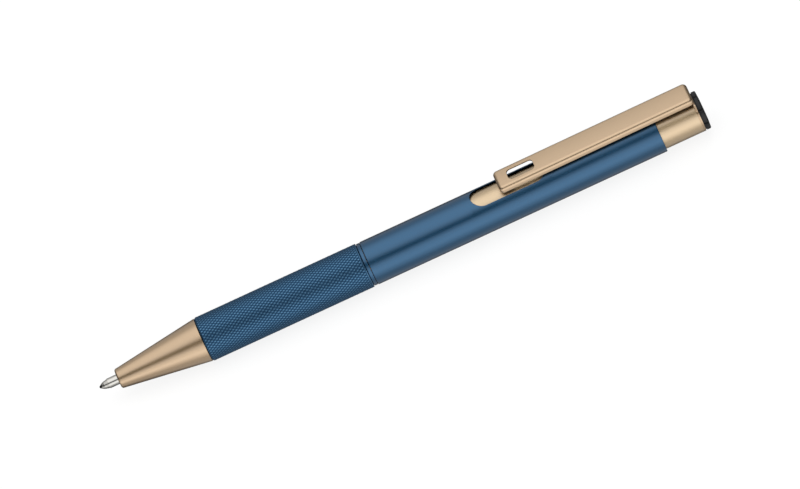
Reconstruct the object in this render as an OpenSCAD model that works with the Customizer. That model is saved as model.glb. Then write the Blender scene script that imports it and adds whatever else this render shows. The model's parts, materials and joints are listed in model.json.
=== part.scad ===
// Slim retractable ballpoint pen with a knurled grip, a windowed barrel and a sheet clip that
// moves with the plunger. The pen lies along X, with its point towards -X and its clip straight up.
// The origin is under the middle of the pen, level with the lowest line of the grip.
// It is drawn as it is when writing: the point is out and the plunger is latched.

/* [Lengths along the pen] */
// Part of the point that stands out of the nose cone
point_out = 4.3; // [3.5:0.1:5]
// Nose cone in front of the grip
nose_length = 19.8; // [18:0.1:22]
// Knurled grip
grip_length = 37.6; // [34:0.1:42]
// Trim ring between the grip and the barrel
ring_length = 0.9; // [0.6:0.1:1.5]
// Blue barrel behind the trim ring
barrel_length = 67.05; // [66:0.05:69]
// Plunger tube that stands out of the barrel
plunger_out = 8.85; // [8:0.05:10]
// Cap behind the clip's foot
cap_length = 1.3; // [1:0.1:2]

/* [Diameters] */
// Front of the nose cone
nose_front_dia = 4.32; // [4.2:0.02:4.6]
// Back of the nose cone
nose_rear_dia = 9.78; // [9.6:0.02:9.9]
// Grip over its knurl
grip_dia = 10; // [9.8:0.1:10.4]
// Trim ring
ring_dia = 9.6; // [9.4:0.1:9.9]
// Barrel
barrel_dia = 9.8; // [9.7:0.05:10]
// Plunger tube
plunger_dia = 8.7; // [8.6:0.05:8.8]
// End cap
cap_dia = 8.6; // [8.4:0.1:8.7]

/* [Edges] */
// Rounding of the nose cone's front edge
nose_round = 0.35; // [0.1:0.05:0.4]
// Bevel on the nose cone's back edge
nose_bevel = 0.15; // [0.05:0.05:0.3]
// Bevel on both ends of the grip
grip_bevel = 0.35; // [0.1:0.05:0.5]
// Bevel on both edges of the trim ring
ring_bevel = 0.12; // [0.05:0.01:0.2]
// Bevel on both ends of the barrel
barrel_bevel = 0.15; // [0.05:0.05:0.3]
// Rounding of the cap's edge
cap_round = 0.3; // [0.1:0.05:0.5]

/* [Window in the barrel] */
// From the barrel's front end to the window
window_start = 25; // [22:0.1:28]
// Length of the window, over its round ends
window_length = 17.1; // [12:0.1:19]
// Width of the window
window_width = 5.3; // [4:0.1:6]

/* [Clip] */
// Clip, from its free end to the outer face of its foot
clip_length = 44.8; // [35:0.1:50]
// Width of the clip
clip_width = 5.8; // [5:0.1:6.4]
// Depth of the clip's folded edges
clip_depth = 1.5; // [1.2:0.05:1.6]
// Thickness of the clip's sheet
clip_sheet = 0.4; // [0.3:0.05:0.5]
// Outer radius of the clip's folds
clip_fold = 0.8; // [0.6:0.05:1]
// Top of the clip above the pen's axis, at its foot
clip_height = 7.15; // [7:0.05:7.5]
// Angle by which the clip drops towards its free end
clip_slope = 0.45; // [0:0.05:0.6]
// From the clip's free end to its slot
slot_start = 2.8; // [2:0.1:5]
// Length of the slot, over its round ends
slot_length = 6; // [4:0.1:10]
// Width of the slot
slot_width = 3; // [2:0.1:3.6]

/* [Cap notches] */
// Number of notches round the cap
notch_count = 8; // [4:1:12]
// Width of a notch
notch_width = 0.5; // [0.3:0.05:0.8]
// Depth of a notch
notch_depth = 0.45; // [0.2:0.05:0.6]
// Rise of the cap's end from its edge to its flat middle
dome_rise = 0.12; // [0.05:0.01:0.3]
// Flat middle of the cap's end
dome_flat_dia = 5; // [3:0.1:6]
// Depth and length of the relief in front of the cap's rim
cap_relief = 0.2; // [0.1:0.05:0.3]

/* [Refill] */
// Ball in the point
ball_dia = 0.7; // [0.5:0.1:1]
// Length of the point's cone
point_cone_length = 2; // [1.5:0.1:2.5]
// Shank of the point
point_dia = 2.2; // [2:0.05:2.3]
// Metal point, from the ball to the plastic joint
point_length = 11; // [10.5:0.1:12]
// Spigot of the point in the plastic joint
point_spigot_dia = 1.6; // [1.2:0.1:1.8]
// Length of that spigot
point_spigot_length = 4; // [2:0.5:6]
// Ink passage through the point and the joint
ink_passage_dia = 0.8; // [0.6:0.1:1]
// From the ball to the shoulder that the spring presses
shoulder_place = 29.5; // [27:0.1:31]
// Length of that shoulder
shoulder_length = 1.5; // [1:0.1:2]
// Diameter of that shoulder
shoulder_dia = 4.2; // [4:0.1:4.3]
// Ink tube
tube_dia = 3; // [2.8:0.05:3.1]
// Bore of the ink tube
tube_bore = 2; // [1.8:0.1:2.2]
// Whole refill, from the ball to the end of its tube
refill_length = 107; // [105:0.1:108]
// Spigot of the plastic joint in the tube
joint_spigot_length = 5; // [3:0.5:8]
// Column of ink behind the joint
ink_length = 52; // [10:1:60]
// Grease plug behind the ink
follower_length = 4; // [2:0.5:8]

/* [Return spring] */
// Wire of the spring
wire_dia = 0.35; // [0.3:0.05:0.4]
// Outer diameter of the spring
spring_dia = 4.2; // [4.1:0.05:4.3]
// Number of curls
spring_curls = 14; // [8:1:18]

/* [Threaded joint] */
// Outer diameter of the thread
thread_dia = 7.8; // [7.4:0.1:8]
// Pitch of the thread
thread_pitch = 0.8; // [0.6:0.1:1]
// Length of the thread
thread_length = 6; // [4:0.5:8]
// Depth of the thread
thread_depth = 0.35; // [0.2:0.05:0.4]
// Neck that the trim ring turns on
neck_dia = 8.2; // [8:0.1:8.4]
// Part of the coupling that is pressed into the barrel
coupling_seat = 9; // [6:0.5:12]
// Depth of the guide tube's seat in the coupling
guide_seat = 6; // [4:0.5:8]
// Bore of the coupling and of the guide tube's seat floor
coupling_bore = 4.4; // [4:0.1:5]
// Spigot of the nose cone in the grip
nose_spigot_dia = 8.2; // [7.6:0.1:8.4]
// Length of that spigot
nose_spigot_length = 9; // [8:0.5:12]
// Bore of the grip between its two seats
grip_bore = 6.8; // [6:0.1:7.2]
// Bore of the nose cone round the spring
spring_chamber_dia = 4.6; // [4.5:0.05:4.8]
// Length of the narrow bore at the front of the nose cone
point_bore_length = 4.6; // [4:0.1:5]

/* [Latch] */
// Travel of the plunger from writing to retracted
retract_travel = 5.5; // [5:0.1:6]
// Further travel of the plunger when it is pressed right in
press_travel = 1.3; // [1:0.1:1.5]
// Turn of the rotor over the retracting travel, in degrees
rotor_turn = 45; // [40:1:50]
// Number of ribs in the guide tube and on the rotor
rib_count = 4; // [4:1:4]
// Width of a rib, in degrees
rib_angle = 20; // [14:1:22]
// Angle of the first rib in the latched pen, in degrees
first_rib = 30; // [20:5:60]
// Wall of the plunger tube
plunger_wall = 0.4; // [0.3:0.05:0.45]
// Space between the plunger tube and the guide tube
guide_space = 0.45; // [0.4:0.05:0.5]
// Wall of the guide tube
guide_wall = 0.5; // [0.4:0.05:0.55]
// Height of the ribs
rib_height = 0.55; // [0.45:0.05:0.6]
// Depth of the rotor's socket for the refill's tube
socket_depth = 3; // [2:0.5:3]
// From the end of the refill to the middle of the rotor's ramps
ramp_place = 3.5; // [3:0.1:5]
// Length of the pusher's ribs
pusher_rib_length = 2.6; // [2.4:0.1:3.5]
// Stub of the rotor in the pusher
stub_dia = 2.2; // [1.8:0.1:2.4]
// Length of that stub
stub_length = 3; // [2:0.5:4]
// Plug of the cap in the plunger tube
plug_length = 3; // [2.5:0.1:4]
// Tail of the pusher in the plug
tail_dia = 4.6; // [4:0.1:5]
// Depth of the tail in the plug
tail_depth = 2; // [1.5:0.1:2.4]
// Length of the slide bush's spigot in the plunger tube
bush_length = 4; // [2:0.5:5]
// Length of the slide bush's flange
bush_flange = 0.8; // [0.5:0.1:1.5]
// How far the plunger tube still covers beyond the window when it is retracted
window_cover = 2.5; // [1:0.1:4]

/* [Clearances] */
// Radial clearance of tubes that slide or turn on each other
running_gap = 0.05; // [0.03:0.01:0.08]
// Radial clearance of the point in the nose cone
point_gap = 0.1; // [0.05:0.01:0.15]
// Clearance on each side of the trim ring
ring_gap = 0.05; // [0.03:0.01:0.1]
// Clearance between the clip and its foot at the fold
fold_gap = 0.05; // [0.03:0.01:0.1]
// Clearance between the latch's ribs, along the pen
latch_gap = 0.3; // [0.2:0.05:0.5]
// Clearance of the latch's ribs, round and across the pen
rib_gap = 0.1; // [0.05:0.01:0.15]

/* [Hidden] */
$fn = 96;
over = 0.5;

// Places along the pen, measured from the tip of the ball
nose_front = point_out;
grip_front = nose_front + nose_length;
ring_front = grip_front + grip_length;
barrel_front = ring_front + ring_length;
barrel_rear = barrel_front + barrel_length;
foot_front = barrel_rear + plunger_out;
cap_front = foot_front + clip_sheet;
pen_length = cap_front + cap_length;
spring_seat = nose_front + point_bore_length;
window_front = barrel_front + window_start;
coupling_rear = barrel_front + coupling_seat;
guide_front = coupling_rear - guide_seat;
tube_front = shoulder_place + shoulder_length;
ink_front = tube_front + joint_spigot_length;
rotor_front = refill_length - socket_depth;
plunger_front = window_front - retract_travel - window_cover;
plug_front = cap_front - plug_length;

// Radii that follow from the fits
barrel_bore_r = plunger_dia / 2 + running_gap;
plunger_bore_r = plunger_dia / 2 - plunger_wall;
guide_r = plunger_bore_r - guide_space;
guide_bore_r = guide_r - guide_wall;
rib_tip_r = guide_bore_r - rib_height;
core_r = rib_tip_r - rib_gap;
rotor_rib_r = guide_bore_r - rib_gap;
point_bore_r = point_dia / 2 + point_gap;

// Ramps of the latch: they rise with the travel that goes with the rotor's turn
ramp_middle = refill_length + ramp_place;
ramp_radius = (rib_tip_r + guide_bore_r) / 2;
ramp_slope = retract_travel / (rotor_turn * PI / 180) / ramp_radius;
ramp_rise = ramp_slope * guide_bore_r * sin(rib_angle / 2);
rotor_rear = ramp_middle + ramp_rise;
pusher_front = rotor_rear + latch_gap;
pusher_rib_rear = pusher_front + pusher_rib_length;
guide_lip = pusher_rib_rear + retract_travel + latch_gap;
guide_lip_length = 1.2;
tooth_count = 8;
tooth_height = 0.5;

// Clip: its end wall stands on the round edge of the foot, and it bends about that edge's middle
fold_height = clip_height - clip_depth;
fold_place = cap_front - clip_sheet / 2;
bend_height = fold_height - fold_gap - clip_sheet / 2;

// Puts children that are drawn round the Z axis, with the ball's tip at 0, on the pen's axis.
// The clip's side is then their -X side.
module on_axis() {
    translate([-pen_length / 2, 0, grip_dia / 2]) rotate([0, 90, 0]) children();
}

// A tube or rod from one place to another
module tube(from, to, outer_r, inner_r = 0) {
    translate([0, 0, from]) difference() {
        cylinder(h = to - from, r = outer_r);
        if (inner_r > 0) translate([0, 0, -over]) cylinder(h = to - from + 2 * over, r = inner_r);
    }
}

// A bore to cut from a piece, from one place to another
module bore(from, to, radius) {
    translate([0, 0, from]) cylinder(h = to - from, r = radius);
}

// A rod with a straight bevel on each end
module beveled_rod(from, to, radius, bevel) {
    rotate_extrude() polygon([
        [0, from], [radius - bevel, from], [radius, from + bevel],
        [radius, to - bevel], [radius - bevel, to], [0, to]
    ]);
}

// A flat outline with two round ends, along X and centred
module stadium(length, width) {
    square([length - width, width], center = true);
    for (side = [-1, 1]) translate([side * (length - width) / 2, 0]) circle(d = width);
}

// A rib between two radii, centred on an angle
module rib(from, to, inner_r, outer_r, angle, middle) {
    translate([0, 0, from]) rotate([0, 0, middle - angle / 2])
        rotate_extrude(angle = angle) translate([inner_r, 0]) square([outer_r - inner_r, to - from]);
}

// Everything in front of the ramp that crosses the middle of the rib at a place
module before_ramp(place) {
    reach = 30;
    translate([0, 0, place]) rotate([atan(ramp_slope), 0, 0])
        translate([-reach / 2, -reach / 2, -reach]) cube(reach);
}

// Pieces of the front half

module nose_cone() {
    slope = (nose_rear_dia - nose_front_dia) / 2 / nose_length;
    color("#d2bb9b") on_axis() difference() {
        union() {
            rotate_extrude() {
                polygon([
                    [0, nose_front], [nose_front_dia / 2 - nose_round, nose_front],
                    [nose_front_dia / 2 - nose_round, nose_front + nose_round],
                    [nose_front_dia / 2 + slope * nose_round, nose_front + nose_round],
                    [nose_rear_dia / 2 - slope * nose_bevel, grip_front - nose_bevel],
                    [nose_rear_dia / 2 - nose_bevel, grip_front], [0, grip_front]
                ]);
                translate([nose_front_dia / 2 + slope * nose_round - nose_round, nose_front + nose_round])
                    circle(r = nose_round);
            }
            tube(grip_front - over, grip_front + nose_spigot_length, nose_spigot_dia / 2);
        }
        bore(nose_front - over, spring_seat + over, point_bore_r);
        bore(spring_seat, grip_front + nose_spigot_length + over, spring_chamber_dia / 2);
    }
}

module grip_tube() {
    color("#3d6488") on_axis() difference() {
        beveled_rod(grip_front, ring_front, grip_dia / 2, grip_bevel);
        bore(grip_front - over, grip_front + nose_spigot_length, nose_spigot_dia / 2);
        bore(grip_front, ring_front, grip_bore / 2);
        bore(ring_front - thread_length - 1, ring_front + over, thread_dia / 2 + running_gap);
    }
}

// Middle of the wire at a number of curls
function spring_point(curl) = let (
    turn = 360 * curl,
    lift = shoulder_place - spring_seat - wire_dia,
    mean_r = (spring_dia - wire_dia) / 2
) [
    mean_r * cos(turn),
    mean_r * sin(turn),
    spring_seat + wire_dia / 2 + lift * curl / spring_curls
];

module spring() {
    rings_per_curl = 8;
    sides = 6;
    rings = spring_curls * rings_per_curl;
    middles = [for (i = [0:rings]) spring_point(i / rings_per_curl)];
    // Each ring lies in the plane through the spring's axis
    points = [
        for (i = [0:rings]) for (k = [0:sides - 1]) let (
            turn = 360 * i / rings_per_curl,
            out = wire_dia / 2 * cos(360 * k / sides)
        ) middles[i] + [
            out * cos(turn),
            out * sin(turn),
            wire_dia / 2 * sin(360 * k / sides)
        ]
    ];
    walls = [
        for (i = [0:rings - 1]) for (k = [0:sides - 1]) let (
            a = i * sides + k,
            b = i * sides + (k + 1) % sides
        ) each [[a, b, a + sides], [b, b + sides, a + sides]]
    ];
    start = [for (k = [1:sides - 2]) [0, k + 1, k]];
    last = rings * sides;
    finish = [for (k = [1:sides - 2]) [last, last + k, last + k + 1]];
    gaps = [
        for (i = [0:rings - rings_per_curl]) for (j = [i + rings_per_curl - 1:min(rings, i + rings_per_curl + 1)])
            norm(middles[i] - middles[j]) - wire_dia
    ];
    echo(least_gap_between_curls = min(gaps));
    color("#b9bcc0") on_axis() polyhedron(points = points, faces = concat(walls, start, finish));
}

// Trim ring, which turns on the coupling's neck

module trim_ring() {
    color("#41688c") on_axis() difference() {
        beveled_rod(ring_front + ring_gap, barrel_front - ring_gap, ring_dia / 2, ring_bevel);
        bore(ring_front, barrel_front, neck_dia / 2 + running_gap);
    }
}

// Fixed pieces of the rear half

module barrel() {
    color("#41688c") on_axis() difference() {
        beveled_rod(barrel_front, barrel_rear, barrel_dia / 2, barrel_bevel);
        bore(barrel_front - over, barrel_rear + over, barrel_bore_r);
        translate([-barrel_dia, 0, window_front + window_length / 2]) rotate([0, 90, 0])
            linear_extrude(barrel_dia) stadium(window_length, window_width);
    }
}

module coupling() {
    grooves = floor(thread_length / thread_pitch);
    thread_r = thread_dia / 2;
    color("#c9a64e") on_axis() difference() {
        union() {
            rotate_extrude() polygon([
                [0, ring_front - thread_length],
                for (i = [0:grooves - 1]) let (place = ring_front - thread_length + i * thread_pitch) each [
                    [thread_r - thread_depth, place],
                    [thread_r, place + thread_pitch * 0.45],
                    [thread_r, place + thread_pitch * 0.55],
                    [thread_r - thread_depth, place + thread_pitch]
                ],
                [thread_r - thread_depth, ring_front], [0, ring_front]
            ]);
            tube(ring_front, barrel_front, neck_dia / 2);
            tube(barrel_front, coupling_rear, barrel_bore_r);
        }
        bore(ring_front - thread_length - over, coupling_rear, coupling_bore / 2);
        bore(guide_front, coupling_rear + over, guide_r);
    }
}

module guide_tube() {
    color("#e8e4da") on_axis() {
        tube(guide_front, guide_lip + guide_lip_length, guide_r, guide_bore_r);
        tube(guide_lip, guide_lip + guide_lip_length, guide_bore_r + guide_wall / 2, rib_tip_r);
        for (i = [0:rib_count - 1]) rotate([0, 0, first_rib + i * 360 / rib_count]) difference() {
            rib(ramp_middle - ramp_rise, guide_lip + over, rib_tip_r, guide_bore_r + guide_wall / 2, rib_angle, 0);
            before_ramp(ramp_middle + latch_gap);
        }
    }
}

// Refill

module writing_ball() {
    color("#2b2b2e") on_axis() translate([0, 0, ball_dia / 2]) sphere(d = ball_dia);
}

module point_socket() {
    rim_r = ball_dia / 2 * 0.96;
    rim_place = ball_dia / 2;
    color("#b8b4ad") on_axis() difference() {
        rotate_extrude() polygon([
            [0, rim_place], [rim_r, rim_place],
            [point_dia / 2 * 0.72, rim_place + (point_cone_length - rim_place) * 0.5],
            [point_dia / 2 * 0.93, point_cone_length],
            [point_dia / 2, point_cone_length + 0.3],
            [point_dia / 2, point_length], [point_spigot_dia / 2, point_length],
            [point_spigot_dia / 2, point_length + point_spigot_length],
            [0, point_length + point_spigot_length]
        ]);
        translate([0, 0, ball_dia / 2]) sphere(d = ball_dia);
        bore(ball_dia / 2, point_length + point_spigot_length + over, ball_dia / 2 * 0.5);
        bore(point_cone_length + 1, point_length + point_spigot_length + over, ink_passage_dia / 2);
    }
}

module refill_adapter() {
    color("#e9e7e1") on_axis() difference() {
        union() {
            tube(point_length, shoulder_place, tube_dia / 2);
            tube(shoulder_place, tube_front, shoulder_dia / 2);
            tube(tube_front, ink_front, tube_bore / 2);
        }
        bore(point_length - over, point_length + point_spigot_length, point_spigot_dia / 2);
        bore(point_length, ink_front + over, ink_passage_dia / 2);
    }
}

module refill_tube() {
    color("#d9dde0") on_axis() tube(tube_front, refill_length, tube_dia / 2, tube_bore / 2);
}

module ink() {
    color("#1c2350") on_axis() tube(ink_front, ink_front + ink_length, tube_bore / 2);
}

module ink_follower() {
    color("#dcd6b8") on_axis()
        tube(ink_front + ink_length, ink_front + ink_length + follower_length, tube_bore / 2);
}

// Crown teeth to cut from the end of a latch piece
module tooth_gaps(place, inner_r, outer_r) {
    for (i = [0:tooth_count - 1])
        rib(place, place + 2 * tooth_height, inner_r, outer_r, 180 / tooth_count, i * 360 / tooth_count);
}

module rotor() {
    color("#d8d4c8") on_axis() difference() {
        union() {
            tube(rotor_front, rotor_rear, core_r);
            tube(rotor_rear - over, rotor_rear + stub_length, stub_dia / 2);
            for (i = [0:rib_count - 1]) rotate([0, 0, first_rib + i * 360 / rib_count]) intersection() {
                rib(refill_length, rotor_rear, core_r - over / 2, rotor_rib_r, rib_angle, 0);
                before_ramp(ramp_middle);
            }
        }
        bore(rotor_front - over, refill_length + rib_gap, tube_dia / 2 + running_gap);
        tooth_gaps(rotor_rear - tooth_height, stub_dia / 2 + rib_gap, guide_r);
    }
}

// Plunger

module plunger_tube() {
    color("#dcc6a2") on_axis() tube(plunger_front, foot_front, plunger_dia / 2, plunger_bore_r);
}

module plunger_bush() {
    color("#efece4") on_axis() difference() {
        union() {
            tube(plunger_front - bush_flange, plunger_front, plunger_dia / 2);
            tube(plunger_front, plunger_front + bush_length, plunger_bore_r);
        }
        bore(plunger_front - bush_flange - over, plunger_front + bush_length + over, guide_r + running_gap);
    }
}

module pusher() {
    slot_angle = 360 / rib_count;
    side_gap = rib_gap / ramp_radius * 180 / PI;
    color("#d8d4c8") on_axis() difference() {
        union() {
            tube(pusher_front, plug_front, core_r);
            tube(plug_front, plug_front + tail_depth, tail_dia / 2);
            for (i = [0:rib_count - 1]) rib(
                pusher_front, pusher_rib_rear, core_r - over / 2, rotor_rib_r,
                slot_angle - rib_angle - 2 * side_gap, first_rib + (i + 0.5) * slot_angle
            );
        }
        bore(pusher_front - over, pusher_front + stub_length + latch_gap, stub_dia / 2 + running_gap);
        tooth_gaps(pusher_front - tooth_height, stub_dia / 2 + rib_gap, guide_r);
    }
}

module end_cap() {
    cap_r = cap_dia / 2;
    flat_r = dome_flat_dia / 2;
    dome_r = (cap_r * cap_r - flat_r * flat_r) / (2 * dome_rise);
    color("#2d2f31") on_axis() difference() {
        union() {
            intersection() {
                rotate_extrude() {
                    translate([0, cap_front]) square([cap_r - cap_relief, cap_length]);
                    translate([0, cap_front + cap_relief]) square([cap_r, cap_length - cap_relief - cap_round]);
                    translate([0, pen_length - cap_round]) square([cap_r - cap_round, cap_round]);
                    translate([cap_r - cap_round, pen_length - cap_round]) circle(r = cap_round);
                }
                translate([0, 0, pen_length - sqrt(dome_r * dome_r - flat_r * flat_r)]) sphere(r = dome_r);
            }
            tube(plug_front, cap_front + cap_relief, plunger_bore_r);
        }
        bore(plug_front - over, plug_front + tail_depth, tail_dia / 2);
        for (i = [0:notch_count - 1]) rotate([0, 0, i * 360 / notch_count])
            translate([cap_r - notch_depth, -notch_width / 2, cap_front + cap_relief / 2])
                cube([cap_r, notch_width, cap_length]);
    }
}

module clip_foot() {
    color("#d2bb9b") on_axis() {
        translate([0, 0, foot_front]) linear_extrude(clip_sheet) difference() {
            union() {
                circle(d = plunger_dia);
                translate([-bend_height, -clip_width / 2]) square([bend_height, clip_width]);
            }
            circle(r = plunger_bore_r + running_gap);
        }
        translate([-bend_height, clip_width / 2, fold_place]) rotate([90, 0, 0])
            cylinder(h = clip_width, d = clip_sheet);
    }
}

// Clip

// A tray upside down, with its top at Z = 0 and its edges and corners rounded
module tray(length, width, depth, radius) {
    inner_l = length - 2 * radius;
    inner_w = width - 2 * radius;
    translate([-length / 2, 0, 0]) {
        translate([-length / 2, -inner_w / 2, -depth]) cube([length, inner_w, depth - radius]);
        translate([-inner_l / 2, -width / 2, -depth]) cube([inner_l, width, depth - radius]);
        translate([-inner_l / 2, -inner_w / 2, -depth]) cube([inner_l, inner_w, depth]);
        for (x = [-inner_l / 2, inner_l / 2]) {
            translate([x, inner_w / 2, -radius]) rotate([90, 0, 0]) cylinder(h = inner_w, r = radius);
            for (y = [-inner_w / 2, inner_w / 2]) {
                translate([x, y, -depth]) cylinder(h = depth - radius, r = radius);
                translate([x, y, -radius]) sphere(r = radius);
            }
        }
        for (y = [-inner_w / 2, inner_w / 2])
            translate([-inner_l / 2, y, -radius]) rotate([0, 90, 0]) cylinder(h = inner_l, r = radius);
    }
}

module clip() {
    $fn = 48;
    inner_radius = clip_fold - clip_sheet;
    translate([fold_place - pen_length / 2, 0, grip_dia / 2 + fold_height]) rotate([0, -clip_slope, 0])
        translate([clip_sheet / 2, 0, clip_depth]) color("#cdb08f") difference() {
            tray(clip_length, clip_width, clip_depth, clip_fold);
            translate([-clip_sheet, 0, -clip_sheet]) tray(
                clip_length - 2 * clip_sheet, clip_width - 2 * clip_sheet, clip_depth, inner_radius
            );
            translate([slot_start + slot_length / 2 - clip_length, 0, -2 * clip_sheet])
                linear_extrude(3 * clip_sheet) stadium(slot_length, slot_width);
        }
}

nose_cone();
grip_tube();
spring();
trim_ring();
barrel();
coupling();
guide_tube();
writing_ball();
point_socket();
refill_adapter();
refill_tube();
ink();
ink_follower();
rotor();
plunger_tube();
plunger_bush();
pusher();
end_cap();
clip_foot();
clip();
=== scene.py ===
"""Looks of a slim retractable pen: its turned, folded and knurled pieces, their finishes and a plain studio.

Shapes are worked out in millimetres in the pen's own directions: x runs along the pen from its point
to its cap, y to its side, and z up towards its clip, with y and z counted from the pen's axis.
"""

import json
import logging
import math
import sys
from collections.abc import Sequence
from dataclasses import dataclass, field
from enum import Enum
from typing import NamedTuple

import bpy
import numpy as np
from mathutils import Matrix, Vector

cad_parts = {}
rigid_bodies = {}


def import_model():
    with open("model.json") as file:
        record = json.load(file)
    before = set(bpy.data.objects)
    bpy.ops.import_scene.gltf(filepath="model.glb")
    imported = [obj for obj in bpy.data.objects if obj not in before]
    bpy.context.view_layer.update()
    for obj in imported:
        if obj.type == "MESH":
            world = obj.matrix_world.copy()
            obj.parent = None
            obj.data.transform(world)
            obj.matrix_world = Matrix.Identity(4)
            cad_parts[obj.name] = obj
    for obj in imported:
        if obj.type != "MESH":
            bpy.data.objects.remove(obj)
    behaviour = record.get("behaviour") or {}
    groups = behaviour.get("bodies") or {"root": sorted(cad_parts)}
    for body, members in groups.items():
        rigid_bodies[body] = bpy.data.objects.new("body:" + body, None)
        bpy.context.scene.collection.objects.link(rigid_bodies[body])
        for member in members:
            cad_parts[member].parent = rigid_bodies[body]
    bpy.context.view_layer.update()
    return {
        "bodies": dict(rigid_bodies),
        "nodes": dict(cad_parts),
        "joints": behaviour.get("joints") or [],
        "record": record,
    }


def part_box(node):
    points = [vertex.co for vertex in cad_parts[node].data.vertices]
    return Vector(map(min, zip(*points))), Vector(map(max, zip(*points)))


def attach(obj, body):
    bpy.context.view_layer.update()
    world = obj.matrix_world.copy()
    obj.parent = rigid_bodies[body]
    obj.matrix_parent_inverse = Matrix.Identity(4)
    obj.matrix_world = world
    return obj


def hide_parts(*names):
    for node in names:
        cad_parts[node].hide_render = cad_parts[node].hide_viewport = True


LOG = logging.getLogger("pen")
MM = 0.001
MICROMETRE = 1e-6
# Points round a turned piece.
ROUND = 216
# Radii in millimetres of edges from nearly sharp to soft.
HAIR, SHARP, EASED, SOFT = 0.02, 0.05, 0.1, 0.2
Colour = tuple[float, float, float]
Corner = tuple[float, float, float]
Stops = tuple[tuple[float, float], ...]
Array = np.ndarray


class Body(Enum):
    """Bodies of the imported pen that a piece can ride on."""

    BARREL = "barrel"
    RING = "ring"
    FRONT = "front"
    PLUNGER = "plunger"
    CLIP = "clip"
    REFILL = "refill"


class Stuff(Enum):
    """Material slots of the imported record."""

    CHAMPAGNE = "champagne_metal"
    BLUE = "blue_metal"
    KNURL = "blue_knurl"
    NICKEL = "nickel"
    CARBIDE = "carbide"
    WIRE = "spring_wire"
    BRASS = "brass"
    WHITE = "white_plastic"
    LATCH = "latch_plastic"
    CLEAR = "clear_plastic"
    INK = "blue_ink"
    GREASE = "grease"
    BLACK = "black_plastic"


class Span(NamedTuple):
    """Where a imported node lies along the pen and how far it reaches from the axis, in millimetres."""

    front: float
    rear: float
    radius: float


def unit(vector: Array) -> Array:
    """Vectors along the last axis, each divided by its length."""
    return vector / np.linalg.norm(vector, axis=-1, keepdims=True)


def full_turn(count: int) -> Array:
    """Evenly spaced angles round the pen, the first one at the clip."""
    return np.arange(count) * math.tau / count


def quarter_turn(count: int) -> Array:
    """Evenly spaced angles from 0 to a quarter turn."""
    return np.linspace(0, math.pi / 2, count)


def rounded(corners: Sequence[Corner], steps: int = 6) -> Array:
    """Outline through corners, each cut by an arc of its own radius.

    With u and v the unit directions from a corner to its neighbours and w half the angle between them,
    the arc's centre lies radius / sin w along their bisector, and its ends radius / tan w along each.
    One more point outside each end of an arc keeps the straight sides straight when they are shaded.

    Args:
        corners: x, distance from the axis and arc radius of each corner, 0 for a sharp one.
        steps: Number of parts of each arc.

    Returns:
        Points (x, distance) along the outline.
    """
    path = np.array([corner[:2] for corner in corners], float)
    parts = []
    for here, before, after, corner in zip(path, np.roll(path, 1, 0), np.roll(path, -1, 0), corners):
        radius = corner[2]
        if radius == 0:
            parts.append(here[None])
            continue
        u, v = unit(before - here), unit(after - here)
        half = math.acos(float(np.clip(u @ v, -1, 1))) / 2
        reach = radius / math.tan(half)
        centre = here + unit(u + v) * radius / math.sin(half)
        turn = math.pi - 2 * half
        t = np.linspace(0, turn, steps + 1)[:, None]
        first, last = here + u * reach, here + v * reach
        arc = centre + (np.sin(turn - t) * (first - centre) + np.sin(t) * (last - centre)) / math.sin(turn)
        parts += [(first + u * radius / 2)[None], arc, (last + v * radius / 2)[None]]
    return np.concatenate(parts)


def stepped(*faces: tuple[float, float, float, float, float]) -> list[Corner]:
    """Both corners of each flat face, given as its x and the distance and arc radius at its two ends."""
    return [corner for x, *ends in faces for corner in ((x, *ends[:2]), (x, *ends[2:]))]


def tube_profile(place: Span, bore: float, front_edge: float, rear_edge: float) -> Array:
    """Section of a plain tube, with the arc radii of its outer edges."""
    front, rear, radius = place
    return rounded(stepped((front, bore, SHARP, radius, front_edge), (rear, radius, rear_edge, bore, SHARP)))


def grid_quads(rows: int, columns: int, closed: bool = True) -> Array:
    """Quads (i, j), (i+1, j), (i+1, j+1), (i, j+1) of a grid of points whose rows each close on themselves.

    Args:
        rows: Number of rows of points.
        columns: Number of points in a row, numbered row by row.
        closed: Whether the last row joins the first.

    Returns:
        Point numbers, four to a face.
    """
    i, j = np.meshgrid(np.arange(rows if closed else rows - 1), np.arange(columns), indexing="ij")
    k, m = (i + 1) % rows, (j + 1) % columns
    return np.stack([i * columns + j, k * columns + j, k * columns + m, i * columns + m], -1).reshape(-1, 4)


def ring_points(x: Array, radii: Array | float, angles: Array) -> Array:
    """Points (x, r sin a, r cos a) round the axis, for places, radii and angles of matching shapes."""
    return np.stack(np.broadcast_arrays(x, radii * np.sin(angles), radii * np.cos(angles)), -1)


def rim_of_hole(outside: Array, hole: Sequence[float]) -> tuple[Array, Array]:
    """Points of a hole's outline nearest to some points outside it, and the directions to them.

    The hole is a rounded rectangle. Its outline is the points at its corner radius from a smaller
    rectangle, so the nearest one lies that far from the smaller rectangle's nearest point.

    Args:
        outside: Points (x, y) outside the hole.
        hole: x of its front end, its length, its width and its corner radius.

    Returns:
        The nearest points, and the unit directions from them to the points outside.
    """
    start, length, width, radius = hole
    half = width / 2 - radius
    nearest = [(start + radius, start + length - radius), (-half, half)]
    core = np.stack([np.clip(outside[:, k], *nearest[k]) for k in range(2)], -1)
    away = unit(outside - core)
    return core + away * radius, away


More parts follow.
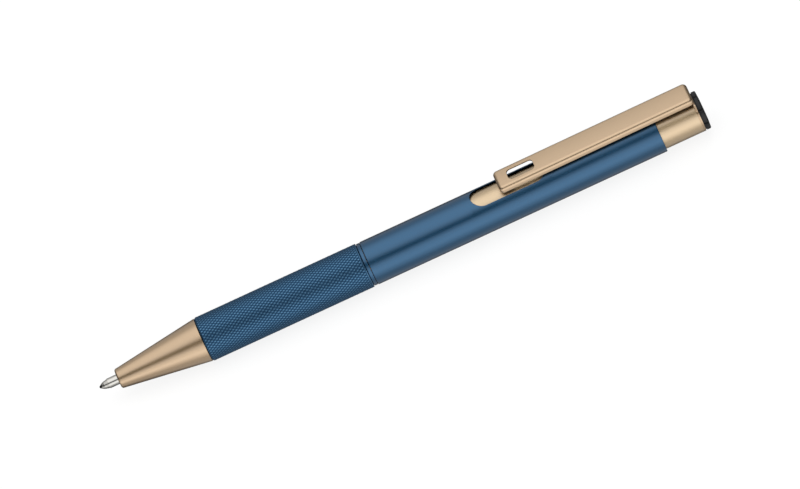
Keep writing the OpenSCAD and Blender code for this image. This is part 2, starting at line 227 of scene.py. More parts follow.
@dataclass
class Shell:
    """Closed surface: its points and the faces that join them.

    Attributes:
        points: Places in millimetres.
        quads: Four-sided faces.
        triangles: Three-sided faces.
        marks: Named values of the points, from 0 to 1, that finishes read.
    """

    points: Array
    quads: Array
    triangles: Array = field(default_factory=lambda: np.empty((0, 3), int))
    marks: dict[str, Array] = field(default_factory=dict)

    def volume(self) -> float:
        """Signed volume, the sum of a . (b x c) / 6 over the triangles and the two halves of each quad.

        Returns:
            The volume in cubic millimetres, above zero where the faces turn outwards.
        """
        faces = np.concatenate([self.quads[:, [0, 1, 2]], self.quads[:, [0, 2, 3]], self.triangles])
        a, b, c = (self.points[faces[:, k]] for k in range(3))
        return float(np.einsum("ij,ij->", a, np.cross(b, c))) / 6

    def mesh(self, name: str, lift: float) -> bpy.types.Mesh:
        """Blender mesh of the surface, in metres, shaded smooth and with its faces turned outwards.

        Args:
            name: Name of the mesh.
            lift: Height of the pen's axis above the floor, in millimetres.

        Returns:
            The mesh, with an attribute for each of the surface's marks.
        """
        turn = -1 if self.volume() < 0 else 1
        mesh = bpy.data.meshes.new(name)
        faces = self.quads[:, ::turn].tolist() + self.triangles[:, ::turn].tolist()
        mesh.from_pydata(((self.points + [0, 0, lift]) * MM).tolist(), [], faces, shade_flat=False)
        for mark, values in self.marks.items():
            mesh.attributes.new(mark, "FLOAT", "POINT").data.foreach_set("value", values.astype(np.float32))
        return mesh


def skin(rings: Array) -> Shell:
    """Closed surface through rings of points, the last of which joins the first."""
    return Shell(rings.reshape(-1, 3), grid_quads(*rings.shape[:2]))


def turned(profile: Array, columns: int = ROUND) -> Shell:
    """Closed profile of points (x, distance) turned round the axis."""
    return skin(ring_points(profile[:, :1], profile[:, 1:], full_turn(columns)))


def sleeve(x: Array, radii: Array, rest: Array) -> Shell:
    """Tube whose outside is a grid of radii, by place and angle, and the rest of its section is turned.

    Args:
        x: Places of the grid's rows.
        radii: Distances of its points from the axis, in rows round it.
        rest: Points (x, distance) of the rest of the section, from the grid's end back to its start.

    Returns:
        The closed surface.
    """
    columns = radii.shape[1]
    places = np.concatenate([x, rest[:, 0]])[:, None]
    radii = np.concatenate([radii, np.repeat(rest[:, 1:], columns, 1)])
    return skin(ring_points(places, radii, full_turn(columns)))


def capped(rings: Array, first: Sequence[float], last: Sequence[float]) -> Shell:
    """Rings of points joined into a skin that a fan of triangles closes at each end.

    Args:
        rings: Points in an array of rings by points in a ring by 3.
        first: Middle of the fan before the first ring.
        last: Middle of the fan behind the last ring.

    Returns:
        The closed surface.
    """
    rows, columns = rings.shape[:2]
    here = np.arange(columns)
    after = (here + 1) % columns
    end = (rows - 1) * columns
    near = np.stack([np.full(columns, rows * columns), here, after], -1)
    far = np.stack([np.full(columns, rows * columns + 1), end + after, end + here], -1)
    points = np.concatenate([rings.reshape(-1, 3), [first], [last]])
    return Shell(points, grid_quads(rows, columns, closed=False), np.concatenate([near, far]))


class Socket:
    """Output of a node. Python's operators on it add Math nodes to the same tree."""

    def __init__(self, recipe: "Recipe", output: bpy.types.NodeSocket | None) -> None:
        """Keeps the tree that the output belongs to."""
        self.recipe = recipe
        self.output = output

    def maths(self, operation: str, *values: "Socket | float") -> "Socket":
        """Result of a Math node, such as MAXIMUM, on some values."""
        return self.recipe.add("Math", {"operation": operation}, dict(enumerate(values)))

    def __add__(self, other: "Socket | float") -> "Socket":
        """Sum."""
        return self.maths("ADD", self, other)

    def __sub__(self, other: "Socket | float") -> "Socket":
        """Difference."""
        return self.maths("SUBTRACT", self, other)

    def __mul__(self, other: "Socket | float") -> "Socket":
        """Product."""
        return self.maths("MULTIPLY", self, other)

    def __rsub__(self, other: float) -> "Socket":
        """Number less this value."""
        return self.maths("SUBTRACT", other, self)


Inputs = dict[str | int, Socket | float | Sequence[float]]


class Recipe:
    """Node tree of one material or of the world, with methods that add nodes."""

    def __init__(self, tree: bpy.types.NodeTree) -> None:
        """Empties the tree."""
        self.tree = tree
        tree.nodes.clear()

    def add(
        self,
        kind: str,
        settings: dict[str, object] | None = None,
        inputs: Inputs | None = None,
        output: str | int = 0,
    ) -> Socket:
        """Adds a node, sets it up and joins its inputs.

        Args:
            kind: Blender's type of the node, without ShaderNode before it.
            settings: Properties of the node.
            inputs: Values or sockets for the node's inputs, by name or number.
            output: Name or number of the output to return.

        Returns:
            The chosen output.
        """
        node = self.tree.nodes.new("ShaderNode" + kind)
        for name, value in (settings or {}).items():
            setattr(node, name, value)
        for name, value in (inputs or {}).items():
            if isinstance(value, Socket):
                self.tree.links.new(value.output, node.inputs[name])
            else:
                node.inputs[name].default_value = value
        return Socket(self, node.outputs[output] if len(node.outputs) else None)

    def show(self, shader: Socket, kind: str = "Material") -> None:
        """Joins a shader to the tree's output, of a material or of the world."""
        self.add("Output" + kind, None, {"Surface": shader})

    def places(self) -> Socket:
        """Object coordinates, in metres."""
        return self.add("TexCoord", output="Object")

    def split(self, vector: Socket) -> tuple[Socket, ...]:
        """The three parts of a vector."""
        first = self.add("SeparateXYZ", None, {0: vector})
        return tuple(Socket(self, output) for output in first.output.node.outputs)

    def by_stops(self, share: Socket, stops: Stops, full: float) -> Socket:
        """Value found between stops.

        Args:
            share: Place to look up, as a share of the full place.
            stops: Places, in order, each with its value.
            full: The full place.

        Returns:
            The value.
        """
        found = self.add("ValToRGB", None, {"Fac": share})
        elements = found.output.node.color_ramp.elements
        while len(elements) < len(stops):
            elements.new(1.0)
        for element, (place, value) in zip(elements, stops):
            element.position = place / full
            element.color = (value, value, value, 1)
        return found

    def stretched(self, along: float, across: float) -> Socket:
        """Object coordinates times one factor along the pen and another across it."""
        inputs = {0: self.places(), 3: (along, across, across)}
        return self.add("Mapping", {"vector_type": "POINT"}, inputs)

    def noise(self, vector: Socket, scale: float, detail: float = 2.0) -> Socket:
        """Noise from 0 to 1 that mostly stays near 0.5."""
        inputs = {"Vector": vector, "Scale": scale, "Detail": detail}
        return self.add("TexNoise", None, inputs, "Fac")

    def mark(self, name: str) -> Socket:
        """Value of one of the surface's marks, 0 where it has none."""
        return self.add("Attribute", {"attribute_name": name}, None, "Fac")

    def mixed(self, share: Socket, low: Colour | Socket, high: Colour) -> Socket:
        """Colour between two colours, the second one at a share of 1."""
        inputs = {0: share, 6: low if isinstance(low, Socket) else (*low, 1), 7: (*high, 1)}
        return self.add("Mix", {"data_type": "RGBA", "clamp_factor": True}, inputs, 2)

    def shaded(self, share: Socket, colour: Colour, spread: float) -> Socket:
        """Colour that a share of 0 to 1 darkens or lightens by up to a spread."""
        low, high = (tuple(channel * factor for channel in colour) for factor in (1 - spread, 1 + spread))
        return self.mixed(share, low, high)

    def relief(self, height: Socket, depth: float) -> Socket:
        """Normal of a surface with a relief of a depth in metres."""
        return self.add("Bump", None, {"Strength": 1.0, "Distance": depth, "Height": height})


def new_recipe(name: str) -> tuple[bpy.types.Material, Recipe]:
    """Empty material and the recipe that fills it.

    Args:
        name: Name of the material.

    Returns:
        The material and its recipe.
    """
    material = bpy.data.materials.new(name)
    material.use_nodes = True
    return material, Recipe(material.node_tree)


@dataclass(frozen=True)
class Finish:
    """Finish made with Blender's Principled shader. Its kinds say what the shader is given.

    Attributes:
        name: Name of the material.
        colour: Its main colour, as linear red, green and blue.
    """

    name: str
    colour: Colour

    def inputs(self, recipe: Recipe) -> Inputs:
        """Values or sockets for the shader's inputs."""
        raise NotImplementedError

    def material(self) -> bpy.types.Material:
        """Builds the material.

        Returns:
            The material, with a Principled shader that has this finish's inputs.
        """
        material, recipe = new_recipe(self.name)
        recipe.show(recipe.add("BsdfPrincipled", None, self.inputs(recipe)))
        return material


@dataclass(frozen=True)
class Metal(Finish):
    """Metal with a satin finish: a fine grain, faint turning lines and soft smudges.

    Attributes:
        roughness: Middle roughness, which varies by uneven.
        grain, turning: Depths of the grain and of the turning lines, in micrometres.
        coat, coat_roughness, coat_index: Weight, roughness and refraction of the clear layer over it.
        inner: Darker colour where the surface is marked as inner: painted shade on the clip's underside and
            on
        the window's cut wall, and the ink on the point's rim. It's rougher there, by dulled, and has no clear
        layer.
        scales: Scales of the grain, the turning lines and the smudges, per metre.
        drawn_out: Scale of the turning lines across the pen, as a share of theirs along it.
        tint: How far the colour goes to either side of its middle.
    """

    roughness: float = 0.28
    uneven: float = 0.06
    grain: float = 1.2
    turning: float = 0.6
    coat: float = 0.0
    coat_roughness: float = 0.15
    coat_index: float = 1.5
    inner: Colour = (0.2, 0.2, 0.2)
    dulled: float = 0.3
    scales: tuple[float, float, float] = (5200.0, 3600.0, 130.0)
    drawn_out: float = 0.02
    tint: float = 0.07

    def inputs(self, recipe: Recipe) -> Inputs:
        """Values or sockets for the shader's inputs.

        Args:
            recipe: Recipe of the material that is built.

        Returns:
            Value or socket of each input, by the input's name.
        """
        grain = recipe.noise(recipe.places(), self.scales[0], 3.0)
        lines = recipe.noise(recipe.stretched(1.0, self.drawn_out), self.scales[1])
        smudges = recipe.noise(recipe.places(), self.scales[2], 3.0)
        # The inner mark paints shade with the darker inner colour under the clip and on the window's cut
        # wall; on the point's rim it stands for ink.
        inner = recipe.mark("inner")
        outer = recipe.shaded(smudges * 0.5 + grain * 0.5, self.colour, self.tint)
        satin = (smudges + grain) * self.uneven + (self.roughness - self.uneven)
        return {
            "Base Color": recipe.mixed(inner, outer, self.inner),
            "Metallic": 1.0,
            "Roughness": satin + inner * self.dulled,
            "Coat Weight": (1.0 - inner) * self.coat,
            "Coat Roughness": self.coat_roughness,
            "Coat IOR": self.coat_index,
            "Normal": recipe.relief(grain * self.grain + lines * self.turning, MICROMETRE),
        }


# Knurled finish with painted light: shade painted dark in the grooves and a highlight painted light on the
# crests.
@dataclass(frozen=True)
class KnurledMetal(Finish):
    """Anodised metal in the groove's colour, lighter and smoother where its surface is marked as a crest.

    Attributes:
        crest: Lighter colour on the crests, a painted highlight; the main colour is darker, a painted shade
            for the grooves.
        roughness, groove_roughness: Roughness on the crests and in the grooves.
        uneven: How much the grain varies the share of the crest's look.
        grain, scale: Depth of the grain in micrometres, and its scale per metre.
    """

    crest: Colour
    roughness: float = 0.29
    groove_roughness: float = 0.58
    uneven: float = 0.3
    grain: float = 1.5
    scale: float = 6500.0

    def inputs(self, recipe: Recipe) -> Inputs:
        """Values or sockets for the shader's inputs.

        Args:
            recipe: Recipe of the material that is built.

        Returns:
            Value or socket of each input, by the input's name.
        """
        # The crest mark mixes from the painted groove shade to the painted crest highlight.
        crest = recipe.mark("crest")
        grain = recipe.noise(recipe.places(), self.scale, 3.0)
        share = crest + (grain - 0.5) * self.uneven
        return {
            "Base Color": recipe.mixed(share, self.colour, self.crest),
            "Metallic": 1.0,
            "Roughness": self.groove_roughness - share * (self.groove_roughness - self.roughness),
            "Normal": recipe.relief(grain, self.grain * MICROMETRE),
        }


@dataclass(frozen=True)
class Plastic(Finish):
    """Moulded plastic with a fine texture.

    Attributes:
        roughness: Middle roughness, which goes by uneven to either side.
        texture: Depth of the moulded texture, in micrometres.
        index: Index of refraction.
        clear, scatter: Shares of the light that pass through it and that wander under its surface.
        scales: Scales of the texture and of the streaks in its colour, per metre.
        drawn_out: Scale of the streaks along the pen, as a share of theirs across it.
        tint: How far the colour goes to either side of its middle.
    """

    roughness: float = 0.4
    texture: float = 2.0
    index: float = 1.49
    clear: float = 0.0
    scatter: float = 0.0
    uneven: float = 0.08
    scales: tuple[float, float] = (7000.0, 420.0)
    drawn_out: float = 0.3
    tint: float = 0.06

    def inputs(self, recipe: Recipe) -> Inputs:
        """Values or sockets for the shader's inputs.

        Args:
            recipe: Recipe of the material that is built.

        Returns:
            Value or socket of each input, by the input's name.
        """
        texture = recipe.noise(recipe.places(), self.scales[0], 4.0)
        flow = recipe.noise(recipe.stretched(self.drawn_out, 1.0), self.scales[1])
        return {
            "Base Color": recipe.shaded(flow, self.colour, self.tint),
            "Roughness": texture * (2 * self.uneven) + (self.roughness - self.uneven),
            "Normal": recipe.relief(texture, self.texture * MICROMETRE),
            "Transmission Weight": self.clear,
            "IOR": self.index,
            "Subsurface Weight": self.scatter,
            "Subsurface Radius": (0.6, 0.5, 0.4),
            "Subsurface Scale": MM,
        }


# What the champagne finishes of the outer pieces and of the drawn tube share. Their dark inner colour
# paints shade on the clip's underside.
COATED: dict[str, float | Colour] = {"coat": 1.0, "coat_index": 2.4, "inner": (0.13, 0.09, 0.05)}
# Plunger tube's finish: a rougher copy of the champagne one, and lighter, partly its own tone and partly
# painted light for the brighter light on the tube.
TUBE_FINISH_WITH_PAINTED_LIGHT = Metal("champagne_tube_with_painted_light", (0.94, 0.685, 0.385), 0.42, coat_roughness=0.25, **COATED)
FINISHES: dict[Stuff, Finish] = {
    Stuff.CHAMPAGNE: Metal("champagne_satin", (0.80, 0.537, 0.287), 0.35, coat_roughness=0.2, **COATED),
    # The blue finish's near-black inner colour paints shade on the window's cut wall.
    Stuff.BLUE: Metal("blue_satin", (0.04, 0.15, 0.296), 0.38, coat=1.0, inner=(0.004, 0.008, 0.014)),
    # Groove colour darker and crest colour lighter than the plain blue: painted shade in the grooves and a
    # painted highlight on the crests.
    Stuff.KNURL: KnurledMetal("blue_knurled", (0.021, 0.076, 0.165), (0.19, 0.41, 0.655)),
    Stuff.NICKEL: Metal("nickel_turned", (0.85, 0.83, 0.78), 0.14, turning=0.8, inner=(0.015, 0.015, 0.015)),
    Stuff.CARBIDE: Metal("carbide_ground", (0.012, 0.012, 0.014), 0.25, grain=0.2, turning=0.0),
    Stuff.WIRE: Metal("wire_drawn", (0.55, 0.56, 0.58), 0.25),
    Stuff.BRASS: Metal("brass_turned", (0.72, 0.5, 0.2), 0.24, turning=1.5),
    Stuff.WHITE: Plastic("adapter_white", (0.8, 0.78, 0.73), 0.35, scatter=0.2),
    Stuff.LATCH: Plastic("latch_acetal", (0.68, 0.64, 0.56), 0.45, scatter=0.2),
    Stuff.CLEAR: Plastic("tube_clear", (0.86, 0.9, 0.93), 0.18, 0.8, clear=0.85),
    Stuff.INK: Plastic("ink_blue", (0.012, 0.02, 0.12), 0.2, 0.2),
    Stuff.GREASE: Plastic("follower_grease", (0.72, 0.68, 0.46), 0.25, 1.0, clear=0.4),
    Stuff.BLACK: Plastic("cap_black", (0.003, 0.0035, 0.0045), 0.3, index=1.52),
}


def put_in_scene(name: str, data: bpy.types.ID) -> bpy.types.Object:
    """New object with some data, in the scene.

    Args:
        name: Name of the object.
        data: Its mesh, light or camera.

    Returns:
        The object.
    """
    item = bpy.data.objects.new(name, data)
    bpy.context.scene.collection.objects.link(item)
    return item


class Pen:
    """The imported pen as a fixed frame, and the bench that adds pieces to it."""

    def __init__(self, frame: dict) -> None:
        """Reads the axis from the barrel and makes each finish once.
        """
        self.nodes = frame["nodes"]
        low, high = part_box("barrel")
        self.axis = (low.z + high.z) / 2 / MM
        self.materials = {stuff: finish.material() for stuff, finish in FINISHES.items()}

    def span(self, node: str) -> Span:
        """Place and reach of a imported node, its reach taken across the pen from side to side."""
        low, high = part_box(node)
        return Span(low.x / MM, high.x / MM, (high.y - low.y) / 2 / MM)

    def add(
        self, name: str, shell: Shell, body: Body, stuff: Stuff, node: str, finish: Finish | None = None
    ) -> None:
        """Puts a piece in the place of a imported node.

        Args:
            name: Name of the piece.
            shell: Its surface.
            body: Body that it rides on.
            stuff: Slot that it takes its finish from.
            node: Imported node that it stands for.
            finish: Its own finish, where that isn't the slot's.
        """
        mesh = shell.mesh(name, self.axis)
        mesh.materials.append(finish.material() if finish else self.materials[stuff])
        piece = put_in_scene(name, mesh)
        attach(piece, body.value)
        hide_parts(node)
        LOG.info("%s: %d faces for %s on %s", name, len(mesh.polygons), node, body.value)

    def dress(self, **stuffs: Stuff) -> None:
        """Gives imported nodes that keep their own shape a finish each.

        Args:
            stuffs: What each node is made of, by the node's name.
        """
        for node, stuff in stuffs.items():
            for place in self.nodes[node].material_slots:
                place.material = self.materials[stuff]
            LOG.info("%s: keeps its solid, in %s", node, stuff.value)


@dataclass
class FrontHalf:
    """Nose cone, knurled grip and return spring, which unscrew together. Sizes are in millimetres."""

    pen: Pen
    nose_front_radius: float = 2.16
    nose_front_edge: float = 0.45
    nose_rear_radius: float = 4.89
    spigot_radius: float = 4.1
    spigot_length: float = 9.0
    point_bore: float = 1.2
    point_bore_edge: float = 0.12
    point_bore_length: float = 4.6
    chamber: float = 2.3
    grip_bore: float = 3.4
    thread_bore: float = 3.95
    thread_depth: float = 7.0
    grip_edge: float = 0.35
    grip_rear_edge: float = 0.35 / 3
    grip_rim: float = 0.15
    grip_inset: float = 0.08
    diamonds_round: int = 46
    diamonds_along: int = 33
    diamond_steps: int = 6
    knurl_depth: float = 0.07
    wire_radius: float = 0.175
    wire_gap: float = 1.02
    curls: int = 14
    curl_steps: int = 28
    wire_sides: int = 10

    def nose_cone(self) -> Shell:
        """Cone with a rounded front edge, its spigot behind, and a stepped bore.

        Returns:
            The cone.
        """
        front, rear, _ = self.pen.span("nose_cone")
        corners = stepped(
            (front, self.point_bore, self.point_bore_edge, self.nose_front_radius, self.nose_front_edge),
            (rear - self.spigot_length, self.nose_rear_radius, EASED, self.spigot_radius, SHARP),
            (rear, self.spigot_radius, SOFT, self.chamber, SOFT),
            (front + self.point_bore_length, self.chamber, EASED, self.point_bore, EASED),
        )
        return turned(rounded(corners, 8))

    def grip(self) -> Shell:
        """Tube with a knurled outside, a plain rim at its rear end, and a stepped bore.

        The outside is a grid of points, some steps to a diamond each way. Two sets of grooves cross where
        p = along + around and q = along - around are whole numbers of diamonds. The height between them
        is |sin(pi p) sin(pi q)|, from 0 in the grooves to 1 on the round crests, and the crest mark is
        its square, which the finish uses to paint shade in the grooves and a highlight on the crests.

        Returns:
            The grip.
        """
        front, rear, radius = self.pen.span("grip_tube")
        columns = self.diamonds_round * self.diamond_steps
        rows = self.diamonds_along * self.diamond_steps + 1
        i, j = np.meshgrid(np.arange(rows), np.arange(columns), indexing="ij")
        along, around = i / self.diamond_steps, j / self.diamond_steps
        height = np.abs(np.sin(math.pi * (along + around)) * np.sin(math.pi * (along - around)))
        x = np.linspace(front + self.grip_inset, rear - self.grip_inset, rows)
        height = np.maximum(height, (rear - x < self.grip_rim)[:, None])
        edge = radius - np.maximum(0, self.grip_edge - (x - front))
        edge -= np.maximum(0, self.grip_rear_edge - (rear - x))
        knurled = np.minimum(radius - self.knurl_depth * (1 - height), edge[:, None])
        rim = radius - self.grip_edge - SHARP
        corners = stepped(
            (rear, rim, SHARP, self.thread_bore, EASED),
            (rear - self.thread_depth, self.thread_bore, SHARP, self.grip_bore, SHARP),
            (front + self.spigot_length, self.grip_bore, SHARP, self.spigot_radius, SHARP),
            (front, self.spigot_radius, EASED, rim, SHARP),
        )
        grip = sleeve(x, knurled, rounded(corners, 3))
        grip.marks["crest"] = np.zeros(len(grip.points))
        grip.marks["crest"][: height.size] = height.ravel() ** 2
        return grip

    def spring(self) -> Shell:
        """Wire wound round the axis, with its first and last curl closed.

        At turn t the wire's middle is (x(t), m sin t, m cos t), where x rises by the wire's width in
        each closed curl and evenly between them, and its section is a circle between the two
        directions across it.

        Returns:
            The spring.
        """
        front, rear, radius = self.pen.span("spring")
        t = np.linspace(0, self.curls, self.curls * self.curl_steps + 1)
        first, last = front + self.wire_radius, rear - self.wire_radius
        wire = 2 * self.wire_radius * self.wire_gap
        x = np.interp(t, [0, 1, self.curls - 1, self.curls], [first, first + wire, last - wire, last])
        path = ring_points(x, radius - self.wire_radius, t * math.tau)
        outward = ring_points(np.zeros_like(t), 1.0, t * math.tau)
        across = unit(np.cross(np.gradient(path, axis=0), outward))
        around = full_turn(self.wire_sides)[:, None]
        ring = outward[:, None] * np.cos(around) + across[:, None] * np.sin(around)
        return capped(path[:, None] + ring * self.wire_radius, path[0], path[-1])

    def build(self) -> None:
        """Adds the three pieces."""
        self.pen.add("nose_cone_turned", self.nose_cone(), Body.FRONT, Stuff.CHAMPAGNE, "nose_cone")
        self.pen.add("grip_knurled", self.grip(), Body.FRONT, Stuff.KNURL, "grip_tube")
        self.pen.add("spring_wound", self.spring(), Body.FRONT, Stuff.WIRE, "spring")


@dataclass
class RearHalf:
    """Barrel with its window, the threaded coupling, the trim ring and the guide tube, in millimetres.

    The window is cut in a block of the barrel's grid of points. A ring of rows joins the block's border
    to the window, and ring_shares says how far along each of them lies. painted_shade_rows gives the first
    row and the row after the last of those painted dark as shade: the window's wall and the edge under it.
    """

    pen: Pen
    neck_radius: float = 4.1
    ring_bore: float = 4.15
    ring_edge: float = 0.14
    barrel_bore: float = 4.4
    barrel_edge: float = 0.15
    window_front: float = 25.0
    window_length: float = 17.1
    window_width: float = 5.3
    window_edge: float = 0.07
    window_margin: float = 1.0
    ring_shares: tuple[float, ...] = (0.35, 0.65, 0.85, 0.96, 1.0)
    painted_shade_rows: tuple[int, int] = (7, 15)
    block_rows: int = 77
    block_half_columns: int = 25
    columns: int = 192
    thread_radius: float = 3.9
    thread_length: float = 6.0
    thread_pitch: float = 0.8
    thread_depth: float = 0.35
    thread_slope: float = 2.4
    thread_flat: float = 0.1
    thread_rows: int = 97
    thread_columns: int = 120
    thread_run_out: float = 0.5
    thread_end: float = 0.15
    coupling_bore: float = 2.2
    ring_gap: float = 0.05
    guide_radius: float = 3.5
    guide_seat: float = 6.0

    def ring(self) -> Shell:
        """Narrow ring with both edges eased."""
        place, edge = self.pen.span("trim_ring"), self.ring_edge
        return turned(tube_profile(place, self.ring_bore, edge, edge))

    def barrel(self) -> Shell:
        """Tube with a window: a turned tube less a block of faces, and a ring of faces in the block.

        The ring joins each point on the block's border to the window's outline on the outside, goes
        over a small edge and down the window's wall, and back to the block's border on the inside.
        The block's border is walked along its first row, last column, last row and first column.

        Returns:
            The barrel.
        """
        place = self.pen.span("barrel")
        start, margin = place.front + self.window_front, self.window_margin
        block = np.linspace(start - margin, start + self.window_length + margin, self.block_rows)
        profile = tube_profile(place, self.barrel_bore, self.barrel_edge, self.barrel_edge)
        outer_at = int(np.argmax(np.diff(profile[:, 0]) > self.window_length)) + 1
        outer = np.stack([block, np.full_like(block, place.radius)], -1)
        inner = np.stack([block[::-1], np.full_like(block, self.barrel_bore)], -1)
        rows = np.concatenate([profile[:outer_at], outer, profile[outer_at:], inner])
        tube = turned(rows, self.columns)
        inner_at = len(rows) - len(block)
        across = np.arange(-self.block_half_columns, self.block_half_columns + 1)
        along = np.arange(len(block))
        cells = np.arange(len(tube.quads)).reshape(len(rows), self.columns)
        hole = [cells[np.ix_(along[:-1] + first, across[:-1])].ravel() for first in (outer_at, inner_at)]
        wall = np.delete(tube.quads, np.concatenate(hole), 0)
        row = np.concatenate([0 * across[1:], along[:-1], 0 * across[1:] + along[-1], along[:0:-1]])
        column = [across[:-1], 0 * along[1:] + across[-1], across[:0:-1], 0 * along[1:] + across[0]]
        column = np.concatenate(column) % self.columns
        over = (outer_at + row) * self.columns + column
        under = (inner_at + along[-1] - row) * self.columns + column
        ring = self.window_ring(tube.points[over, :2], tube.points[under, :2])
        numbers = len(tube.points) + np.arange(ring[..., 0].size).reshape(ring.shape[:2])
        grid = np.concatenate([over[None], numbers, under[None]])
        faces = grid.ravel()[grid_quads(*grid.shape, closed=False)]
        points = np.concatenate([tube.points, ring.reshape(-1, 3)])
        # Painted shade: the window's wall and the edge under it are marked inner, so they take the blue
        # finish's near-black inner colour.
        cut = np.zeros(len(points))
        cut[numbers[slice(*self.painted_shade_rows)]] = 1
        used, quads = np.unique(np.concatenate([wall, faces]), return_inverse=True)
        return Shell(points[used], quads.reshape(-1, 4), marks={"inner": cut[used]})

    def window_ring(self, outer: Array, inner: Array) -> Array:
        """Points between the block's outer and inner borders, by way of the window's wall.

        A point (x, y) on a wall of radius r has the height sqrt(r^2 - y^2).

        Args:
            outer: Border of the block on the outside, seen from above.
            inner: Border of the block on the inside, seen from above.

        Returns:
            Points in an array of rows by places round the window by 3.
        """
        ease = self.window_edge
        front, _, radius = self.pen.span("barrel")
        start, width = front + self.window_front, self.window_width
        edge, away = rim_of_hole(outer, (start, self.window_length, width, width / 2))
        lip = edge + away * ease
        shares = np.array(self.ring_shares)[:, None, None]
        turn = quarter_turn(len(shares) + 1)[1:, None]

        def height(plan: Array, wall: float) -> Array:
            """Height of a wall of the tube over a plan."""
            return np.sqrt(wall**2 - plan[..., 1] ** 2)

        above = outer + shares * (lip - outer)
        below = lip + (1 - shares[::-1]) * (inner - lip)
        rounding = edge + away * ease * (1 - np.sin(turn))[..., None]
        top = height(lip, radius) - ease * (1 - np.cos(turn))
        foot = height(lip, self.barrel_bore) + ease * (1 - np.cos(turn))
        z = [height(above, radius), top, foot[::-1], height(below, self.barrel_bore)]
        plan = np.concatenate([above, rounding, rounding[::-1], below])
        return np.concatenate([plan, np.concatenate(z)[..., None]], -1)

    def coupling(self) -> Shell:
        """Threaded sleeve. Its ridge stands at angle a where x / pitch - a / turn is a whole number.

        Away from the ridge by d of a pitch, the thread falls by its depth times slope d - flat, kept
        between 0 and 1. It runs out at both of its ends.

        Returns:
            The coupling.
        """
        _, rear, radius = self.pen.span("coupling")
        neck = self.pen.span("trim_ring").front - self.ring_gap
        start, stop = neck - self.thread_length, neck - self.thread_end
        root = self.thread_radius - self.thread_depth
        x, around = np.linspace(start, stop, self.thread_rows), full_turn(self.thread_columns)
        turns = (x[:, None] - start) / self.thread_pitch - around / math.tau
        away = np.abs(turns - np.round(turns))
        fall = np.clip(self.thread_slope * away - self.thread_flat, 0, 1)
        run_out = np.clip(np.minimum(x - start, stop - x) / self.thread_run_out, 0, 1)[:, None]
        threaded = self.thread_radius - self.thread_depth * (1 - (1 - fall) * run_out)
        corners = stepped(
            (neck, root, 2 * HAIR, self.neck_radius, EASED),
            (self.pen.span("barrel").front, self.neck_radius, 0.03, radius, EASED),
            (rear, radius, EASED, self.guide_radius, EASED),
            (rear - self.guide_seat, self.guide_radius, SHARP, self.coupling_bore, EASED),
            (start, self.coupling_bore, 0.15, root - 0.1, 0.08),
        )
        return sleeve(x, threaded, rounded(corners, 4))

    def build(self) -> None:
        """Adds the pieces of the rear half and finishes the guide tube."""
        self.pen.add("barrel_windowed", self.barrel(), Body.BARREL, Stuff.BLUE, "barrel")
        self.pen.add("coupling_threaded", self.coupling(), Body.BARREL, Stuff.BRASS, "coupling")
        self.pen.add("trim_ring_turned", self.ring(), Body.RING, Stuff.BLUE, "trim_ring")
        self.pen.dress(guide_tube=Stuff.LATCH)


